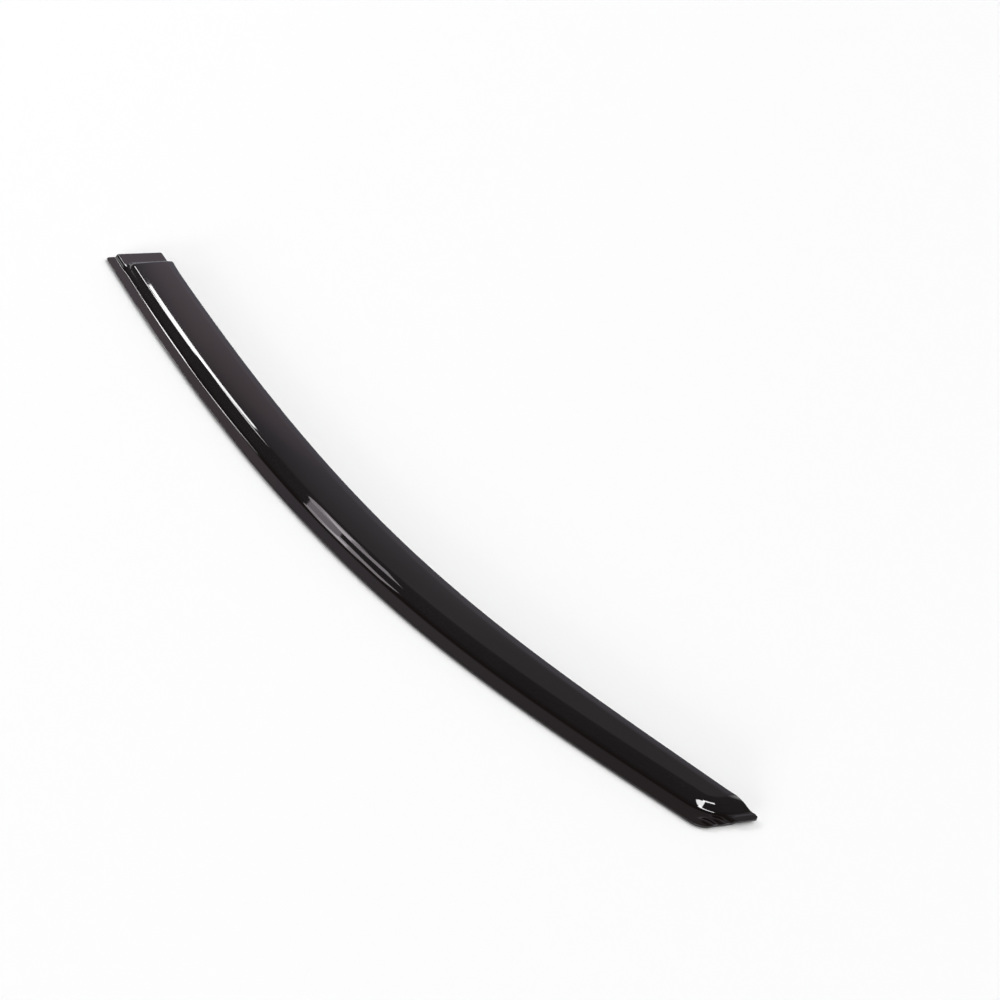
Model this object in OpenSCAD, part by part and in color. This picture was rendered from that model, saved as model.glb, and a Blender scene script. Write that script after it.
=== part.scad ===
// Window rain deflector for the left front door of a car, formed from one sheet
// of smoked acrylic. A flat flange is taped to the window frame, a shoulder lifts
// the body off the glass, a raised tab closes the rear end and a fluted lip closes
// the pointed front end. The long inner edge is free and lets air out.
// It lies on its flange with the outer face up. +X runs from the rear end to the
// pointed front end, +Y from the flange to the free edge, and the origin is on the
// table under the middle of the part.

/* [Outline] */
// Straight distance between the two corners of the flange edge
length = 900; // [700:10:1100]
// Angle between the flange edge and that straight line at the rear corner
rear_angle = 9.5; // [5:0.5:13]
// Angle between the flange edge and that straight line at the front corner
front_angle = 12; // [6:0.5:16]
// How far the rear angle carries into the flange edge, as a share of the length
rear_reach = 0.573; // [0.4:0.001:0.6]
// How far the front angle carries into the flange edge, as a share of the length
front_reach = 0.281; // [0.2:0.001:0.4]
// Width from the flange edge to the free edge at the rear end
rear_width = 56; // [48:0.5:70]
// Width from the flange edge to the free edge at the front end
front_width = 32.5; // [30:0.5:42]
// How late the body narrows, 1 for an even taper and more for a later one
taper_power = 1.9; // [1:0.1:3]
// Slant of the rear end, off square to the flange edge
rear_slant = 26; // [10:1:35]
// Slant of the front end, off square to the flange edge
front_slant = 43; // [25:1:50]
// How far the free edge flares out at the rear end of the body
rear_flare = 0.9; // [0:0.1:2]

/* [Corners] */
// Radius of the flange corner at the rear end
rear_flange_r = 2.5; // [1:0.5:4]
// Radius of the free corner of the tab
tab_r = 3; // [1:0.5:6]
// Radius of the flange corner at the front end
front_flange_r = 20; // [3:0.5:20]
// Radius of the front tip
tip_r = 2.3; // [1:0.1:3]

/* [Section] */
// Thickness of the sheet
sheet_t = 2.5; // [1.5:0.1:4]
// Width of the flat flange that takes the tape
flange_w = 9; // [6:0.5:11]
// Width in plan of the sloping shoulder between the flange and the face
shoulder_run = 11; // [8:0.5:12]
// Height of the shoulder above the flange
shoulder_h = 8; // [5:0.5:14]
// Further rise of the face from the shoulder to the free edge
face_rise = 2.5; // [0:0.1:5]
// Width of the strip along the free edge that turns down
edge_roll_w = 6; // [3:0.5:6]
// How far the free edge turns down
edge_drop = 0.8; // [0:0.1:2]

/* [Rear tab] */
// Length of the flat tab from the rear end to the foot of the body
tab_len = 16.5; // [8:0.5:22]
// Height of the tab above the flange
tab_h = 3.6; // [2:0.1:5]
// Width in plan of the step from the flange to the tab
tab_step = 4; // [3:0.5:7]
// How far the tab's free side is set back from the free edge of the body
tab_inset = 1.7; // [0:0.1:4]
// Length in plan of the wall from the tab up to the face
rear_wall_run = 12.5; // [6:0.5:16]

/* [Front lip] */
// Length of the lip from the front end to the foot of the body
lip_len = 4.5; // [3:0.5:10]
// Length in plan of the wall from the lip up to the face
front_wall_run = 13; // [6:0.5:18]
// Distance from the flange edge to the first flute
flute_start = 3.5; // [2:0.5:6]
// Distance from one flute to the next
flute_pitch = 6.5; // [5:0.5:8]
// Height of the flutes
flute_h = 1; // [0.5:0.1:2]
// Height of the rest of the lip, from the last flute to the front tip
lip_h = 2.1; // [0.5:0.1:3]
// Depth of the notches where the grooves beside the flutes meet the front end
notch_depth = 0.8; // [0:0.1:1.5]

/* [Hidden] */

// Shares of each wall that are its rounded foot and its rounded brow
wall_foot = 0.25;
wall_brow = 0.45;
// The same for the wall at the front end, which runs out in a longer brow
front_foot = 0.15;
front_brow = 0.65;
// Shares of the low step beside the tab that are its foot and its brow
step_foot = 0.1;
step_brow = 0.6;
// Roundness in plan of the body's corners, in widths of their walls
body_corner = 1.3;
// Distance along which the free edge's flare dies out
flare_len = 28;
// Number of flutes side by side on the front lip
flute_count = 2;
// Length of the flutes, and the share of it along which they keep their height
flute_len = 9;
flute_hold = 0.4;

// How far the corner trims reach past the sheet, and how far their rounds do, so
// that a round crosses the two sides of its corner instead of only touching them
trim_over = 1;
round_over = 0.01;

// Mesh steps along the part
tab_steps = 3;
rear_wall_steps = 8;
front_wall_steps = 11;
body_steps = 60;
// Mesh steps across the part
flange_steps = 5;
shoulder_steps = 11;
face_steps = 5;
roll_steps = 3;

// Blend from a to b as f goes from 0 to 1
function mix(a, b, f) = a + (b - a) * f;
// x kept between 0 and 1
function unit_part(x) = min(1, max(0, x));

// Side view of a pressed wall: 0 at its foot, 1 at its brow, both ends rounded.
// q goes from 0 to 1 across the wall.
function wall(q, foot, brow) =
    let (
        x = unit_part(q),
        slope = 1 / (1 - foot / 2 - brow / 2)
    )
    x < foot ? slope * x * x / (2 * foot)
    : x > 1 - brow ? 1 - slope * (1 - x) * (1 - x) / (2 * brow)
    : slope * (x - foot / 2);
// The same with no straight part between foot and brow
function ease(q) = wall(q, 0.5, 0.5);

// The flange edge is one cubic curve between its two corners
rear_pull = rear_reach * length * [cos(rear_angle), -sin(rear_angle)];
front_pull = front_reach * length * [cos(front_angle), sin(front_angle)];
edge_ctrl = [[0, 0], rear_pull, [length, 0] - front_pull, [length, 0]];
function edge_curve(t) =
    (1 - t) ^ 3 * edge_ctrl[0]
    + 3 * (1 - t) ^ 2 * t * edge_ctrl[1]
    + 3 * (1 - t) * t ^ 2 * edge_ctrl[2]
    + t ^ 3 * edge_ctrl[3];
function edge_heading(t) =
    let (
        d = (1 - t) ^ 2 * (edge_ctrl[1] - edge_ctrl[0])
            + 2 * (1 - t) * t * (edge_ctrl[2] - edge_ctrl[1])
            + t ^ 2 * (edge_ctrl[3] - edge_ctrl[2])
    )
    d / norm(d);

// Distance travelled along the edge against the curve's own parameter
edge_samples = 200;
function edge_chord(i) = norm(edge_curve(i / edge_samples) - edge_curve((i - 1) / edge_samples));
edge_table = [
    for (i = 0, s = 0; i <= edge_samples; i = i + 1, s = s + edge_chord(i)) [s, i / edge_samples]
];
edge_len = edge_table[edge_samples][0];

// Plan position s along the flange edge and w in from it, straight past the ends
function plan(s, w) =
    let (
        on_edge = min(edge_len, max(0, s)),
        t = lookup(on_edge, edge_table),
        d = edge_heading(t)
    )
    edge_curve(t) + (s - on_edge) * d + w * [-d.y, d.x];

// Distances of a plan position from the slanted rear and front ends
function rear_gap(s, w) = s * cos(rear_slant) - w * sin(rear_slant);
function front_gap(s, w) = (edge_len - s) * cos(front_slant) + w * sin(front_slant);

// Full width of the part, narrowing towards the front
function width_at(s) = mix(rear_width, front_width, unit_part(s / edge_len) ^ taper_power);

// Progress up the rear wall at a distance from the rear end
function rear_rise(gap) = (gap - tab_len) / rear_wall_run;
// How far the free edge lies outside that width: in along the tab, out at the body
function free_shift(gap) =
    let (past_wall = gap - tab_len - rear_wall_run)
    mix(-tab_inset, rear_flare * unit_part(1 - past_wall / flare_len) ^ 2, ease(rear_rise(gap)));

// Height of the lip across its width: the flutes, then the plain part up to the tip
flute_end = flute_start + flute_count * flute_pitch;
function flute_wave(w) = sin(180 * (w - flute_start) / flute_pitch) ^ 2;
function lip_height(w) =
    w < flute_start ? 0
    : w < flute_end ? flute_h * flute_wave(w)
    : lip_h * ease(2 * (w - flute_end) / flute_pitch);
function lip_share(gap) = 1 - ease((gap / flute_len - flute_hold) / (1 - flute_hold));
// Depth of the notches, full where a groove runs out
function notch(w) =
    w < flute_start + flute_pitch / 2 || w > flute_end + flute_pitch / 2 ? 0 : 1 - flute_wave(w);

// Height of the outer face above the flange. The body is one pressed tray whose
// shoulder and end walls share one rounded outline.
function face_height(s, w) =
    let (
        full = width_at(s),
        across = (w - flange_w) / shoulder_run,
        rear = rear_rise(rear_gap(s, w)),
        front = (front_gap(s, w) - lip_len) / front_wall_run,
        end = min(rear, front),
        inside = across < body_corner && end < body_corner
            ? body_corner - norm([body_corner - across, body_corner - end])
            : min(across, end),
        turn = unit_part(0.5 + (across - front) / (2 * body_corner)),
        body = wall(inside, mix(wall_foot, front_foot, turn), mix(wall_brow, front_brow, turn)),
        share = unit_part((w - flange_w) / (full - flange_w)),
        roll = unit_part(1 - (full - w) / edge_roll_w),
        top = shoulder_h + face_rise * (1 - (1 - share) ^ 2) - edge_drop * roll ^ 2,
        tab = tab_h * wall((w - flange_w) / tab_step, step_foot, step_brow) * (1 - ease(rear)),
        lip = lip_height(w) * lip_share(front_gap(s, w))
    )
    mix(tab + lip, top, body);

// Evenly spaced values after a and up to b
function evenly(a, b, steps) = [for (i = [1:steps]) mix(a, b, i / steps)];
function reversed(list) = [for (i = [len(list) - 1:-1:0]) list[i]];

// How far in from the end a corner round reaches. The slant is positive where the
// corner is sharper than square.
function corner_reach(r, slant) = r * (1 + sin(slant));
rear_round = max(corner_reach(rear_flange_r, rear_slant), corner_reach(tab_r, -rear_slant));
front_round = corner_reach(tip_r, front_slant);

// Distances from each end at which a line of points crosses the part. The first
// stretch is straight and holds the corner rounds.
rear_gaps = [
    0,
    rear_round,
    each evenly(rear_round, tab_len, tab_steps),
    each evenly(tab_len, tab_len + rear_wall_run * body_corner, rear_wall_steps)
];
front_gaps = [
    0,
    front_round,
    each evenly(front_round, lip_len + front_wall_run * body_corner, front_wall_steps)
];
rear_starts = [for (g = rear_gaps) g / cos(rear_slant)];
front_starts = [for (g = reversed(front_gaps)) edge_len - g / cos(front_slant)];
body_starts = evenly(rear_starts[len(rear_starts) - 1], front_starts[0], body_steps);
line_starts = concat(rear_starts, body_starts, [for (i = [1:len(front_starts) - 1]) front_starts[i]]);

// Widths at which points lie on one line, from the flange edge to the free edge
function across_widths(full) = [
    0,
    flute_start,
    each evenly(flute_start, flange_w, flange_steps),
    each evenly(flange_w, flange_w + shoulder_run, shoulder_steps),
    each evenly(flange_w + shoulder_run, full - edge_roll_w, face_steps),
    each evenly(full - edge_roll_w, full, roll_steps)
];

// One line of points on the outer face, straight in plan. It leaves the flange
// edge at start and slants like the nearer end.
function face_line(start) =
    let (
        lean = mix(tan(rear_slant), tan(front_slant), unit_part(start / edge_len)),
        near_full = width_at(start + rear_width * lean),
        full = width_at(start + near_full * lean) + free_shift(start * cos(rear_slant)),
        end_share = unit_part(1 - (edge_len - start) * cos(front_slant) / lip_len)
    )
    [
        for (w = across_widths(full))
            let (
                from = start - notch_depth * notch(w) * end_share,
                p = mix(plan(from, 0), plan(from + full * lean, full), w / full)
            )
            [p.x, p.y, sheet_t + face_height(start + w * lean, w)]
    ];

face_grid = [for (s = line_starts) face_line(s)];
lines = len(face_grid);
cols = len(face_grid[0]);
last_line = lines - 1;
last_col = cols - 1;
face_points = [for (line = face_grid) each line];

// The part is centred over the origin
all_x = [for (p = face_points) p.x];
all_y = [for (p = face_points) p.y];
middle = [(min(all_x) + max(all_x)) / 2, (min(all_y) + max(all_y)) / 2, 0];

// Skin of triangles over a grid, and the strip of triangles that closes one edge
function skin(offset, up) = [
    for (i = [0:last_line - 1], j = [0:last_col - 1])
        let (
            a = offset + i * cols + j,
            b = a + 1,
            c = b + cols,
            d = a + cols
        )
        each up ? [[a, b, d], [b, c, d]] : [[a, d, b], [b, d, c]]
];
function rim(path, drop) = [
    for (k = [0:len(path) - 2])
        let (
            a = path[k],
            b = path[k + 1]
        )
        each [[b, a, a + drop], [b, a + drop, b + drop]]
];

// The drawn sheet: the outer face, the inner face straight below it, as a drawn
// sheet thins on its walls, and the rim between them
module drawn_sheet() {
    count = lines * cols;
    inner_points = [for (p = face_points) p - [0, 0, sheet_t]];
    rear_rim = [for (j = [0:last_col]) j];
    front_rim = [for (j = [last_col:-1:0]) last_line * cols + j];
    flange_rim = [for (i = [last_line:-1:0]) i * cols];
    free_rim = [for (i = [0:last_line]) i * cols + last_col];
    polyhedron(
        points = concat(face_points, inner_points),
        faces = concat(
            skin(0, true),
            skin(count, false),
            rim(rear_rim, count),
            rim(free_rim, count),
            rim(front_rim, count),
            rim(flange_rim, count)
        ),
        convexity = 6
    );
}

// What is milled off one sharp corner of the sheet to leave a round of radius r.
// The corner and a point on each of its two edges are points of the face.
module corner_trim(corner, side_a, side_b, r) {
    tip = [corner.x, corner.y];
    to_a = [side_a.x, side_a.y] - tip;
    to_b = [side_b.x, side_b.y] - tip;
    dir_a = to_a / norm(to_a);
    dir_b = to_b / norm(to_b);
    inwards = (dir_a + dir_b) / norm(dir_a + dir_b);
    half_angle = acos(dir_a * dir_b) / 2;
    centre = tip + inwards * r / sin(half_angle);
    past = (r + trim_over) / r;
    translate([0, 0, -trim_over])
        linear_extrude(sheet_t + tab_h + 2 * trim_over)
            difference() {
                polygon([
                    centre,
                    centre + (tip + dir_a * r / tan(half_angle) - centre) * past,
                    tip - inwards * trim_over / sin(half_angle),
                    centre + (tip + dir_b * r / tan(half_angle) - centre) * past
                ]);
                translate(centre) circle(r + round_over, $fn = 64);
            }
}

module deflector() {
    rear = face_grid[0];
    next = face_grid[1];
    front = face_grid[last_line];
    before = face_grid[last_line - 1];
    front_tangent = front_flange_r * tan((90 - front_slant) / 2);
    color([0.17, 0.14, 0.15])
        translate(-middle)
            difference() {
                drawn_sheet();
                corner_trim(rear[0], next[0], rear[1], rear_flange_r);
                corner_trim(rear[last_col], next[last_col], rear[last_col - 1], tab_r);
                corner_trim(front[0], plan(edge_len - front_tangent, 0), front[1], front_flange_r);
                corner_trim(front[last_col], before[last_col], front[last_col - 1], tip_r);
            }
}

deflector();
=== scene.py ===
import math
import bmesh
import bpy
import numpy as np
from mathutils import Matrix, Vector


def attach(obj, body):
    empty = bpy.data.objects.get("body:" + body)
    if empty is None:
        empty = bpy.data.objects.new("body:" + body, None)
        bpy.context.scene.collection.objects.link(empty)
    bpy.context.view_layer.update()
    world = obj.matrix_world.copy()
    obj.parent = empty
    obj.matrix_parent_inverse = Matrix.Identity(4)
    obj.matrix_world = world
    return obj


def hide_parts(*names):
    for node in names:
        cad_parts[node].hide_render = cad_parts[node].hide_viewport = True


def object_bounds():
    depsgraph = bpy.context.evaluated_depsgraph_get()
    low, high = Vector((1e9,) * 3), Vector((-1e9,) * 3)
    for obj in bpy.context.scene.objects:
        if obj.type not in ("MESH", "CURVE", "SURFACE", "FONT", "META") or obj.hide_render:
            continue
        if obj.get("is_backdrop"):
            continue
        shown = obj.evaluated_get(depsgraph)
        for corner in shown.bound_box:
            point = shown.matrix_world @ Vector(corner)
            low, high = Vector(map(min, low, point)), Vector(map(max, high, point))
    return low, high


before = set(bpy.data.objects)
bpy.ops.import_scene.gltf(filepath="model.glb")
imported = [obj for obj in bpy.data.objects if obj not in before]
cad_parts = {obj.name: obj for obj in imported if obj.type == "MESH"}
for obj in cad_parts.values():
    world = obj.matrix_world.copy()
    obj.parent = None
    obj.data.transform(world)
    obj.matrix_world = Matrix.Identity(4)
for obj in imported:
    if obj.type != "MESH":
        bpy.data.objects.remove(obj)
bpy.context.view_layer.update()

# Flange edge. The convex edge that follows the window frame is one cubic curve
# between two corners, routed round a jig after the acrylic sheet has been formed.
# Plan places are (s, w) in mm: s along this edge, w square to it, to the free edge.
length, sheet, flange_w = 900.0, 2.5, 9
rear_angle, front_angle = math.radians(9.5), math.radians(12)
rear_reach, front_reach = 0.573 * length, 0.281 * length
rear_pull = rear_reach * np.array([math.cos(rear_angle), -math.sin(rear_angle)])
front_pull = front_reach * np.array([math.cos(front_angle), math.sin(front_angle)])
edge_ctrl = np.array([[0.0, 0.0], rear_pull, [length, 0.0] - front_pull, [length, 0.0]])


def edge_curve(t):
    t = np.asarray(t, float)[..., None]
    return (
        (1 - t) ** 3 * edge_ctrl[0]
        + 3 * (1 - t) ** 2 * t * edge_ctrl[1]
        + 3 * (1 - t) * t**2 * edge_ctrl[2]
        + t**3 * edge_ctrl[3]
    )


def edge_heading(t):
    t = np.asarray(t, float)[..., None]
    d = (
        (1 - t) ** 2 * (edge_ctrl[1] - edge_ctrl[0])
        + 2 * (1 - t) * t * (edge_ctrl[2] - edge_ctrl[1])
        + t**2 * (edge_ctrl[3] - edge_ctrl[2])
    )
    return d / np.linalg.norm(d, axis=-1, keepdims=True)


edge_t = np.linspace(0, 1, 201)
chords = np.linalg.norm(np.diff(edge_curve(edge_t), axis=0), axis=1)
edge_s = np.concatenate([[0.0], np.cumsum(chords)])
edge_len = edge_s[-1]


def plan(s, w):
    on_edge = np.clip(s, 0, edge_len)
    t = np.interp(on_edge, edge_s, edge_t)
    d = edge_heading(t)
    square = np.stack([-d[..., 1], d[..., 0]], -1)
    return edge_curve(t) + (s - on_edge)[..., None] * d + w[..., None] * square


# Free edge. The inner edge is trimmed 56 mm from the flange edge at the rear end
# and 32.5 mm from it at the front end, so the body narrows, mostly near the front.
rear_width, front_width, taper = 56, 32.5, 1.9


def mix(a, b, f):
    return a + (b - a) * f


def width_at(s):
    return mix(rear_width, front_width, np.clip(s / edge_len, 0, 1) ** taper)


# Pressed walls. The hot sheet is drawn over a wooden plug, so every wall has a
# rounded foot and a rounded brow with a straight slope between them. The foot and
# the brow are given as shares of the wall's run.
def wall(q, foot, brow):
    x = np.clip(q, 0, 1)
    slope = 1 / (1 - foot / 2 - brow / 2)
    low = slope * x * x / (2 * foot)
    high = 1 - slope * (1 - x) ** 2 / (2 * brow)
    return np.where(x < foot, low, np.where(x > 1 - brow, high, slope * (x - foot / 2)))


def ease(q):
    return wall(q, 0.5, 0.5)


# Rear tab. At the rear end the sheet steps up 3.6 mm beside the flange and makes a
# flat tab, 16.5 mm long and set back a little from the free edge, that closes the
# end of the body. The step melts into the foot of the shoulder.
tab_len, tab_rise, tab_inset = 16.5, 3.6, 1.7
step_run, step_foot, step_brow = 4, 0.1, 0.6
melt_start, melt_run = 20, 14
rear_wall_run = 12.5


def rear_rise(gap):
    return (gap - tab_len) / rear_wall_run


def tab_height(w, gap):
    step = wall((w - flange_w) / step_run, step_foot, step_brow)
    return tab_rise * step * (1 - ease((gap - melt_start) / melt_run))


# Front lip. Two shallow flutes run out over the flange to the front end, and the
# rest of the lip lies 2.1 mm above it up to the pointed tip. The two grooves end
# in small notches in the trimmed end.
lip_len, lip_rise = 4.5, 2.1
flute_start, flute_pitch, flute_rise = 3.5, 6.5, 1.0
flute_end = flute_start + 2 * flute_pitch
flute_len, flute_hold = 9, 0.4
notch_depth = 0.8


def flute_wave(w):
    return np.sin(np.pi * (w - flute_start) / flute_pitch) ** 2


def lip_height(w, gap):
    flutes = np.where(w < flute_start, 0, flute_rise * flute_wave(w))
    plain = lip_rise * ease((w - flute_end) / (flute_pitch / 2))
    fade = ease((gap / flute_len - flute_hold) / (1 - flute_hold))
    return np.where(w < flute_end, flutes, plain) * (1 - fade)


def notch(w):
    beside = (w < flute_start + flute_pitch / 2) | (w > flute_end + flute_pitch / 2)
    return notch_depth * np.where(beside, 0, 1 - flute_wave(w))


# Raised body. The shoulder climbs 8 mm from the flange over 11 mm, turns round both
# ends with a drawn corner, and carries a face that rises a little further and turns
# down along its free edge.
shoulder_run, shoulder_rise, front_wall_run = 11, 8, 13
face_rise, roll_w, roll_drop = 2.5, 6, 0.8
body_corner = 1.3
rear_slant, front_slant = math.radians(26), math.radians(43)
shoulder_foot, shoulder_brow = 0.25, 0.45
front_foot, front_brow = 0.15, 0.65


def face_height(s, w):
    full = width_at(s)
    rear_gap = s * math.cos(rear_slant) - w * math.sin(rear_slant)
    front_gap = (edge_len - s) * math.cos(front_slant) + w * math.sin(front_slant)
    across = (w - flange_w) / shoulder_run
    front = (front_gap - lip_len) / front_wall_run
    end = np.minimum(rear_rise(rear_gap), front)
    in_corner = (across < body_corner) & (end < body_corner)
    drawn = body_corner - np.hypot(body_corner - across, body_corner - end)
    inside = np.where(in_corner, drawn, np.minimum(across, end))
    turn = np.clip(0.5 + (across - front) / (2 * body_corner), 0, 1)
    foot = mix(shoulder_foot, front_foot, turn)
    brow = mix(shoulder_brow, front_brow, turn)
    share = np.clip((w - flange_w) / (full - flange_w), 0, 1)
    roll = np.clip(1 - (full - w) / roll_w, 0, 1)
    top = shoulder_rise + face_rise * (1 - (1 - share) ** 2) - roll_drop * roll**2
    base = tab_height(w, rear_gap) + lip_height(w, front_gap)
    return mix(base, top, wall(inside, foot, brow))


# Trimmed ends and corners. The ends are routed at a slant, their four corners are
# rounded, and every edge is flamed and polished to a fine round of 0.35 mm.
fine, mm = 0.35, 0.001
flange_corner_rear, flange_corner_front = 2.5, 20
free_corner_rear, free_corner_front = 3, 2.3
flare_w, flare_run = 0.9, 28


def corner_pull(gap, r, slant):
    """how far a corner round of radius r holds a line back from the side edge"""
    gap, r = gap - fine, r - fine
    depth = np.clip(r - gap, 0, r)
    pull = r + depth * math.sin(slant) - math.cos(slant) * np.sqrt(r * r - depth * depth)
    return np.where(gap >= r * (1 + math.sin(slant)), 0, pull)


def end_lines(corner, fine_to, step, out_to):
    """distances from an end: bunched in the corner rounds, even on the pressed end"""
    turn = fine + corner * (1 - np.cos(np.linspace(0, np.pi / 2, 10)))
    even = np.arange(turn[-1] + step, fine_to, step)
    grow = even[-1] + np.cumsum(np.linspace(step, 3, 12))
    return np.concatenate([turn, even, grow[grow < out_to]])


def spread(start, end, count):
    """count lines from start on, even, with end left to the next stretch"""
    return start + (end - start) * np.linspace(0, 1, count + 1)[:-1]


rear_end = end_lines(corner=3.1, fine_to=36, step=0.7, out_to=60)
front_end = end_lines(corner=3.3, fine_to=24, step=0.5, out_to=45)
rear_lines = rear_end / math.cos(rear_slant)
front_lines = edge_len - front_end[::-1] / math.cos(front_slant)
body_lines = np.linspace(rear_lines[-1], front_lines[0], 262)[1:-1]
starts = np.concatenate([rear_lines, body_lines, front_lines])[:, None]
rear_dist = starts * math.cos(rear_slant)
front_dist = (edge_len - starts) * math.cos(front_slant)

lean = mix(math.tan(rear_slant), math.tan(front_slant), starts / edge_len)
past_tab = (rear_dist - tab_len - rear_wall_run) / flare_run
flare = flare_w * np.clip(1 - past_tab, 0, 1) ** 2
full = width_at(starts + width_at(starts + rear_width * lean) * lean)
full = full + mix(-tab_inset, flare, ease(rear_rise(rear_dist)))
first = fine + np.maximum(
    corner_pull(rear_dist, flange_corner_rear, rear_slant),
    corner_pull(front_dist, flange_corner_front, -front_slant),
)
last = full - fine - np.maximum(
    corner_pull(rear_dist, free_corner_rear, -rear_slant),
    corner_pull(front_dist, free_corner_front, front_slant),
)
foot_line = np.full_like(starts, flange_w)
brow_line = foot_line + shoulder_run
roll_line = full - roll_w
across = np.concatenate(
    [
        spread(first, foot_line, 16),
        spread(foot_line, brow_line, 24),
        spread(brow_line, roll_line, 14),
        spread(roll_line, last, 8),
        last,
    ],
    axis=1,
)
root = starts - notch(across) * np.clip(1 - front_dist / lip_len, 0, 1)
flat = plan(root, 0 * root)
flat = mix(flat, plan(root + full * lean, full + 0 * root), (across / full)[..., None])
plan_middle = np.array([461.443668, -1.543534])
height = sheet + face_height(starts + across * lean, across)
face = np.concatenate([flat - plan_middle, height[..., None]], -1) * mm
rows, cols = across.shape

# One sheet. A flat grid is moved onto the pressed shape, its copy lies one sheet's
# thickness below, and the outline is extruded round the edge from one to the other.
bm = bmesh.new()
bmesh.ops.create_grid(bm, x_segments=rows - 1, y_segments=cols - 1, size=0.5)
rim_out = bm.verts.layers.float_vector.new("rim_out")
loop = np.concatenate([face[:, 0], face[-1, 1:], face[-2::-1, -1], face[0, -2:0:-1]])
along = np.roll(loop, -1, axis=0) - np.roll(loop, 1, axis=0)
outwards = np.stack([along[:, 1], -along[:, 0]], -1)
outwards /= np.linalg.norm(outwards, axis=1)[:, None]
side, end = rows, rows + cols - 1
out = np.zeros((rows, cols, 2))
out[:, 0] = outwards[:side]
out[-1, 1:] = outwards[side:end]
out[-2::-1, -1] = outwards[end : end + rows - 1]
out[0, -2:0:-1] = outwards[end + rows - 1 :]
for v in bm.verts:
    i = round((v.co.x + 0.5) * (rows - 1))
    j = round((v.co.y + 0.5) * (cols - 1))
    v.co = face[i, j]
    v[rim_out] = (*out[i, j], 0)
rim = [e for e in bm.edges if e.is_boundary]
under = bmesh.ops.duplicate(bm, geom=bm.verts[:] + bm.edges[:] + bm.faces[:])["geom"]
under_verts = [g for g in under if isinstance(g, bmesh.types.BMVert)]
under_faces = [g for g in under if isinstance(g, bmesh.types.BMFace)]
bmesh.ops.translate(bm, verts=under_verts, vec=(0, 0, -sheet * mm))
bmesh.ops.reverse_faces(bm, faces=under_faces)
turns = np.radians([22.5, 45, 67.5, 90])
profile = [(fine * math.sin(a), fine * (1 - math.cos(a))) for a in turns]
profile += [(x, sheet - z) for x, z in profile[::-1]] + [(0.0, sheet)]
past_x, past_z = 0.0, 0.0
for x, z in profile:
    made = bmesh.ops.extrude_edge_only(bm, edges=rim)["geom"]
    rim = [g for g in made if isinstance(g, bmesh.types.BMEdge) and g.is_boundary]
    for v in {v for e in rim for v in e.verts}:
        v.co += v[rim_out] * ((x - past_x) * mm)
        v.co.z -= (z - past_z) * mm
    past_x, past_z = x, z
bmesh.ops.remove_doubles(bm, verts=bm.verts[:], dist=1e-6)
bmesh.ops.recalc_face_normals(bm, faces=bm.faces[:])
bm.verts.layers.float_vector.remove(bm.verts.layers.float_vector["rim_out"])
for f in bm.faces:
    f.smooth = True
mesh = bpy.data.meshes.new("deflector_sheet")
bm.to_mesh(mesh)
bm.free()
deflector = bpy.data.objects.new("deflector_sheet", mesh)
bpy.context.scene.collection.objects.link(deflector)
even_shading = deflector.modifiers.new("even_shading", "WEIGHTED_NORMAL")
even_shading.keep_sharp = True
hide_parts("deflector")
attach(deflector, "root")

# Smoked acrylic. Cast sheet tinted through with a brown-black dye, a touch uneven,
# and polished on both faces, so it mirrors the room. Colour is painted by height:
# the flange on the table is painted darker and browner as painted shade, and the
# raised body lighter, partly its dye and partly painted light seen through the sheet.
dark_dye, light_dye = (0.0114, 0.0096, 0.0104, 1), (0.0142, 0.0117, 0.0126, 1)
# painted shade: the darker, browner colour of the flange where it lies on the table
flange_painted_shade = (0.0063, 0.0034, 0.0030, 1)
painted_shade_top, painted_light_from = 0.0028, 0.0055
acrylic = bpy.data.materials.new("smoked_acrylic")
acrylic.use_nodes = True
tree = acrylic.node_tree
gloss = tree.nodes["Principled BSDF"]
gloss.inputs["IOR"].default_value = 1.49
coords = tree.nodes.new("ShaderNodeTexCoord")
cloud = tree.nodes.new("ShaderNodeTexNoise")
cloud.inputs["Scale"].default_value = 9.0
cloud.inputs["Detail"].default_value = 3.0
tree.links.new(coords.outputs["Object"], cloud.inputs["Vector"])
tint = tree.nodes.new("ShaderNodeValToRGB")
for stop, place, dye in zip(tint.color_ramp.elements, (0.35, 0.68), (dark_dye, light_dye)):
    stop.position, stop.color = place, dye
tree.links.new(cloud.outputs["Fac"], tint.inputs["Fac"])
raised = tree.nodes.new("ShaderNodeSeparateXYZ")
tree.links.new(coords.outputs["Object"], raised.inputs["Vector"])
shade_to_light = tree.nodes.new("ShaderNodeMapRange")
shade_to_light.inputs["From Min"].default_value = painted_shade_top
shade_to_light.inputs["From Max"].default_value = painted_light_from
tree.links.new(raised.outputs["Z"], shade_to_light.inputs["Value"])
# painted shade and light by height: flange colour low down, the lighter body colour above
depth = tree.nodes.new("ShaderNodeMix")
depth.data_type = "RGBA"
depth.inputs[6].default_value = flange_painted_shade
tree.links.new(shade_to_light.outputs["Result"], depth.inputs[0])
tree.links.new(tint.outputs["Color"], depth.inputs[7])
tree.links.new(depth.outputs[2], gloss.inputs["Base Color"])
polish = tree.nodes.new("ShaderNodeMapRange")
polish.inputs["To Min"].default_value = 0.012
polish.inputs["To Max"].default_value = 0.035
tree.links.new(cloud.outputs["Fac"], polish.inputs["Value"])
tree.links.new(polish.outputs["Result"], gloss.inputs["Roughness"])
deflector.data.materials.append(acrylic)

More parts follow.
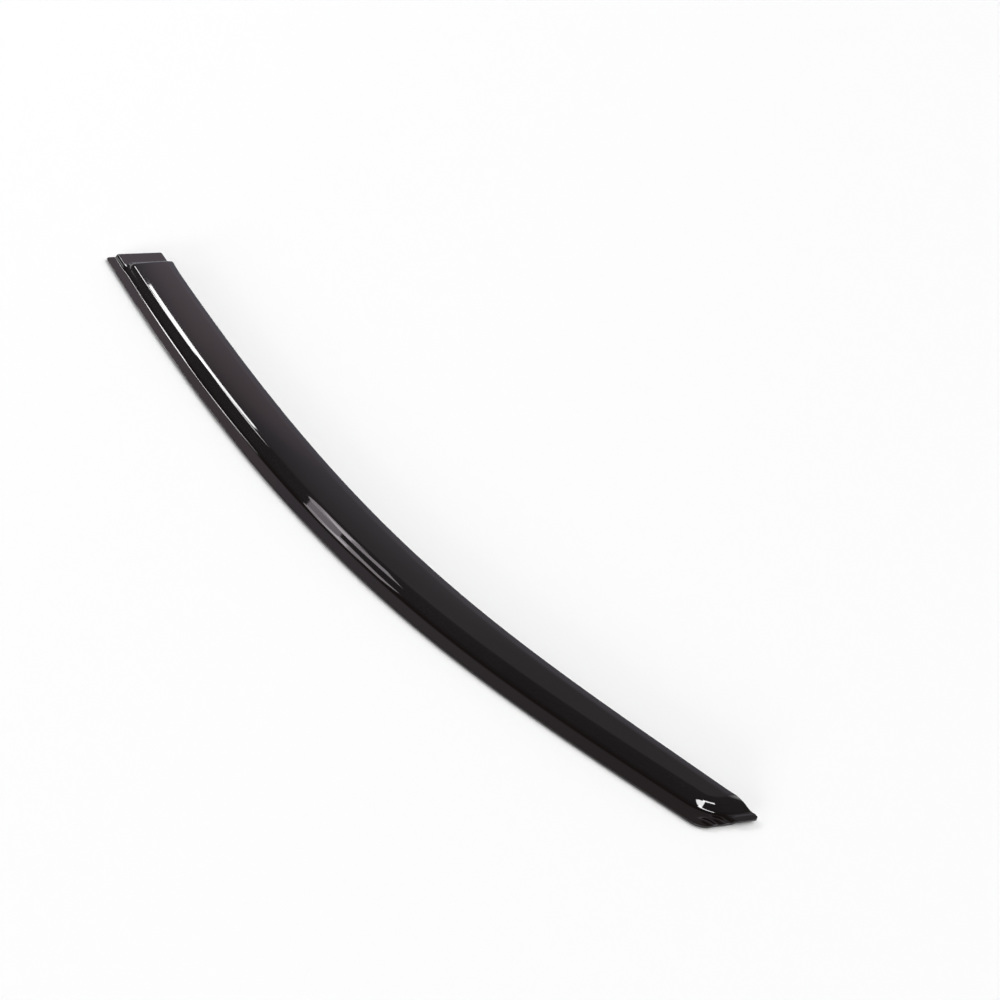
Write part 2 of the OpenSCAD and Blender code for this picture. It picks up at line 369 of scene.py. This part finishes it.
# Studio. A white table in a dim room. A large soft light fills in from beside the
# part, a pale wall and ceiling glow beyond it, and narrow soft boxes draw its white
# lines. The backdrop is white where it is seen, or mirrored from near the horizon.
bpy.ops.mesh.primitive_plane_add(size=24, location=(0, 0, -0.0002))
table = bpy.context.object
table.name = "table"
table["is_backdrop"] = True
white = bpy.data.materials.new("white_table")
white.use_nodes = True
paint = white.node_tree.nodes["Principled BSDF"]
paint.inputs["Base Color"].default_value = (0.95, 0.95, 0.95, 1)
paint.inputs["Roughness"].default_value = 0.9
table.data.materials.append(white)


def toward(azimuth, elevation):
    """unit vector from the part, azimuth from +Y towards +X, elevation from the table"""
    a, e = math.radians(azimuth), math.radians(elevation)
    return math.sin(a) * math.cos(e), math.cos(a) * math.cos(e), math.sin(e)


world = bpy.data.worlds.new("surround")
bpy.context.scene.world = world
world.use_nodes = True
sky = world.node_tree
ray = sky.nodes.new("ShaderNodeTexCoord")
dim_room = sky.nodes.new("ShaderNodeRGB")
dim_room.outputs[0].default_value = (0.08, 0.08, 0.08, 1)
room = dim_room.outputs[0]
# name, azimuth, elevation, angle of full glow, angle where it has faded, colour
glows = [
    ("wall", -42, 16, 22, 42, (0.66, 0.62, 0.75, 1)),
    ("ceiling", -44, 65, 13, 30, (0.25, 0.23, 0.25, 1)),
    ("wall_end", -66, 37, 4, 8, (0.22, 0.13, 0.12, 1)),
    ("fill", 30, 40, 12, 38, (4.25, 4.31, 4.21, 1)),
]
for name, azimuth, elevation, inner, outer, colour in glows:
    beside = sky.nodes.new("ShaderNodeVectorMath")
    beside.operation = "DOT_PRODUCT"
    beside.inputs[1].default_value = toward(azimuth, elevation)
    sky.links.new(ray.outputs["Generated"], beside.inputs[0])
    soft = sky.nodes.new("ShaderNodeMapRange")
    soft.interpolation_type = "SMOOTHSTEP"
    soft.inputs["From Min"].default_value = math.cos(math.radians(outer))
    soft.inputs["From Max"].default_value = math.cos(math.radians(inner))
    sky.links.new(beside.outputs["Value"], soft.inputs["Value"])
    glow = sky.nodes.new("ShaderNodeMix")
    glow.name = name
    glow.data_type = "RGBA"
    glow.blend_type = "ADD"
    glow.inputs[7].default_value = colour
    sky.links.new(soft.outputs["Result"], glow.inputs[0])
    sky.links.new(room, glow.inputs[6])
    room = glow.outputs[2]


def seen_where(operation, first, second):
    """a Math node of two masks, or of a mask and a plain number"""
    node = sky.nodes.new("ShaderNodeMath")
    node.operation = operation
    sky.links.new(first, node.inputs[0])
    if isinstance(second, float):
        node.inputs[1].default_value = second
    else:
        sky.links.new(second, node.inputs[1])
    return node.outputs["Value"]


split = sky.nodes.new("ShaderNodeSeparateXYZ")
sky.links.new(ray.outputs["Generated"], split.inputs["Vector"])
path = sky.nodes.new("ShaderNodeLightPath").outputs
near_horizon = seen_where("LESS_THAN", split.outputs["Z"], 0.04)
mirrored = seen_where("MAXIMUM", path["Is Glossy Ray"], path["Is Transmission Ray"])
mirrored = seen_where("MULTIPLY", mirrored, near_horizon)
seen = seen_where("MAXIMUM", path["Is Camera Ray"], mirrored)
backdrop = sky.nodes.new("ShaderNodeMix")
backdrop.data_type = "RGBA"
backdrop.inputs[7].default_value = (0.97, 0.97, 0.97, 1)
sky.links.new(seen, backdrop.inputs[0])
sky.links.new(room, backdrop.inputs[6])
sky.links.new(backdrop.outputs[2], sky.nodes["Background"].inputs["Color"])

away = 20.0
plain, rosy, pale_rose = (1, 1, 1), (1, 0.9, 0.97), (1, 0.93, 0.98)
# name, azimuth, elevation, width and height in degrees, roll, strength, colour
boxes = [
    ("key_box", -88.1, 37.3, 20.3, 4, -14.8, 17.0, plain),
    ("key_side", -75.5, 39.2, 1.7, 8.5, 7.8, 17.0, plain),
    ("key_low", -92, 32.7, 7, 3, -15, 17.0, plain),
    ("key_top", -93, 42.3, 18, 2, 0, 17.0, plain),
    ("side_low", -140.1, 9.5, 4.6, 6, 8, 2.3, rosy),
    ("side_right", -137.1, 23.5, 6, 24, 16, 3.8, pale_rose),
    ("side_left", -142.8, 20.5, 9, 17, 25, 3.8, pale_rose),
    ("front_box", 153, 12.5, 20, 6, 8, 20.0, plain),
    ("front_low", 167, 7.2, 17, 4.4, 0, 20.0, plain),
]
for name, azimuth, elevation, wide, high, roll, strength, colour in boxes:
    lamp = bpy.data.lights.new(name, "AREA")
    lamp.shape = "RECTANGLE"
    lamp.color = colour
    lamp.size = 2 * away * math.tan(math.radians(wide / 2))
    lamp.size_y = 2 * away * math.tan(math.radians(high / 2))
    lamp.energy = strength * math.pi * lamp.size * lamp.size_y
    holder = bpy.data.objects.new(name, lamp)
    bpy.context.scene.collection.objects.link(holder)
    holder.location = [away * part for part in toward(azimuth, elevation)]
    holder.rotation_euler = (math.radians(90 - elevation), 0, math.radians(180 - azimuth))
    holder.rotation_euler.rotate_axis("Z", math.radians(roll))

# Camera. Shot from above the pointed end and the flange side, looking about 45
# degrees down, as the photograph was.
looking_down, turned = 44.79, 50.9376
lens = bpy.data.cameras.new("camera")
lens.lens = 46.8
camera = bpy.data.objects.new("camera", lens)
bpy.context.scene.collection.objects.link(camera)
camera.location = (0.726177, -0.412908, 0.806998)
camera.rotation_euler = (math.radians(90 - looking_down), 0, math.radians(turned))
bpy.context.scene.camera = camera
bpy.context.scene.view_settings.view_transform = "Standard"

low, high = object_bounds()
